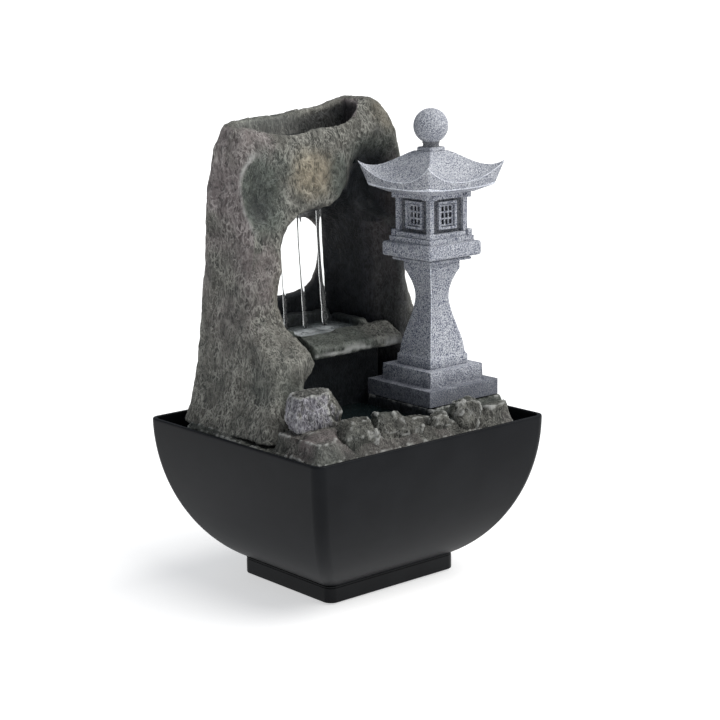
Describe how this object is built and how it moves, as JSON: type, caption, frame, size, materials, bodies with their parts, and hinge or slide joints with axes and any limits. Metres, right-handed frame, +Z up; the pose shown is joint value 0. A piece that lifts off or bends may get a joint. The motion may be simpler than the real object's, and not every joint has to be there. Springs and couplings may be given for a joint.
{
  "type": "tabletop water fountain",
  "caption": "Tabletop fountain: curved rectangular bowl with a lift-out rock arch, cascade shelf and stone lantern, and a small submersible pump with an impeller and a flow dial.",
  "frame": {"origin": "centre of the rest plane under the foot", "axes": "+Z up, +X along the long side of the bowl to the right, -Y to the front, where the arch and the lantern face"},
  "size_m": [0.16, 0.146, 0.2572],
  "materials": {
    "bowl_plastic": "satin charcoal moulded plastic",
    "foot_plastic": "dark satin moulded plastic",
    "pad_rubber": "black rubber",
    "pump_plastic": "black moulded plastic",
    "grey_plastic": "grey moulded plastic",
    "impeller_plastic": "pale moulded plastic",
    "core_steel": "varnished steel laminations",
    "coil_copper": "enamelled copper winding",
    "magnet": "sintered ferrite",
    "shaft_steel": "ground steel",
    "rock_resin": "painted cast rock, dry-brushed edges",
    "mauve_rock": "painted cast rock with a mauve cast",
    "granite_resin": "speckled grey granite finish",
    "tube_vinyl": "clear flexible vinyl"
  },
  "bodies": {
    "fountain_bowl": {"bowl": "bowl_plastic", "bowl_foot": "foot_plastic", "foot_pads": "pad_rubber", "lead_grommet": "pad_rubber", "pump_housing": "pump_plastic", "stator_core": "core_steel", "stator_coil": "coil_copper", "pump_back_cap": "pump_plastic", "rotor_shaft": "shaft_steel", "shaft_bushes": "pad_rubber", "volute_plate": "pump_plastic", "suction_cups": "pad_rubber"},
    "impeller": {"impeller_wheel": "impeller_plastic", "rotor_magnet": "magnet"},
    "intake_cover": {"strainer_cover": "pump_plastic"},
    "flow_dial_body": {"flow_dial": "grey_plastic"},
    "sculpture": {"rock_base": "rock_resin", "support_legs": "pump_plastic", "leg_bumpers": "pad_rubber", "rock_tower": "rock_resin", "cascade_shelf": "rock_resin", "boulder_left": "mauve_rock", "boulder_front": "rock_resin", "boulder_slab": "rock_resin", "boulders_right": "rock_resin", "water_spouts": "pump_plastic", "pump_hose": "tube_vinyl", "riser_pipe": "tube_vinyl", "lantern_base": "granite_resin", "lantern_pillar": "granite_resin", "lantern_platform": "granite_resin", "lantern_firebox": "granite_resin", "lantern_lattices": "granite_resin", "lantern_roof": "granite_resin", "lantern_finial": "granite_resin"}
  },
  "joints": [
    {"name": "sculpture_lift", "type": "slide", "parent": "fountain_bowl", "child": "sculpture", "axis": [0, 0, 1], "range_m": [0, 0.08]},
    {"name": "impeller_spin", "type": "hinge", "parent": "fountain_bowl", "child": "impeller", "pos_m": [-0.018, 0, 0.033], "axis": [0, 1, 0], "continuous": true},
    {"name": "intake_cover_pull", "type": "slide", "parent": "fountain_bowl", "child": "intake_cover", "axis": [0, -1, 0], "range_m": [0, 0.012]},
    {"name": "flow_dial_turn", "type": "hinge", "parent": "intake_cover", "child": "flow_dial_body", "pos_m": [-0.018, -0.021, 0.033], "axis": [0, -1, 0], "range_deg": [0, 45]}
  ]
}
